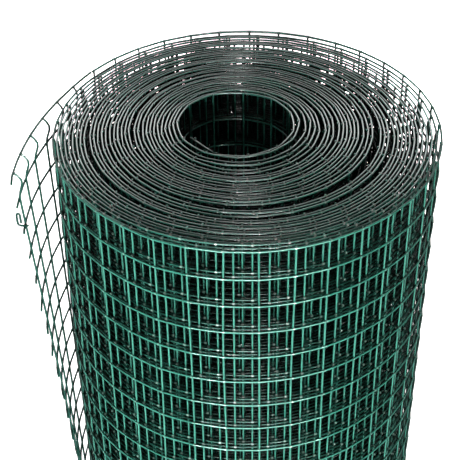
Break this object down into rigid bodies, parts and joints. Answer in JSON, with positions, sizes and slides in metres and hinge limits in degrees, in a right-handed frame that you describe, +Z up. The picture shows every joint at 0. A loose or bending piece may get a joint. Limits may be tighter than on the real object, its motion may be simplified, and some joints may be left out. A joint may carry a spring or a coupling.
{
  "type": "roll of wire fencing",
  "caption": "Standing roll of square welded wire mesh with a dark green plastic coat, an open core, spiral turns on its ends and a sprung loose end that carries a tie wire.",
  "frame": {"origin": "centre of the open core, on the plane of the end that the roll stands on", "axes": "+Z up along the core, -Y towards the front as pictured, +X to the right, so the loose end stands off on the -X side"},
  "size_m": [0.1665, 0.1547, 0.4962],
  "materials": {
    "coated_wire": "smooth dark green plastic coat over steel wire, semi-gloss",
    "tie_coat": "dark green plastic coat over soft steel wire, semi-gloss"
  },
  "bodies": {
    "root": {"wound_roll": "coated_wire", "loose_end": "coated_wire", "tie_wire": "tie_coat"}
  },
  "joints": []
}
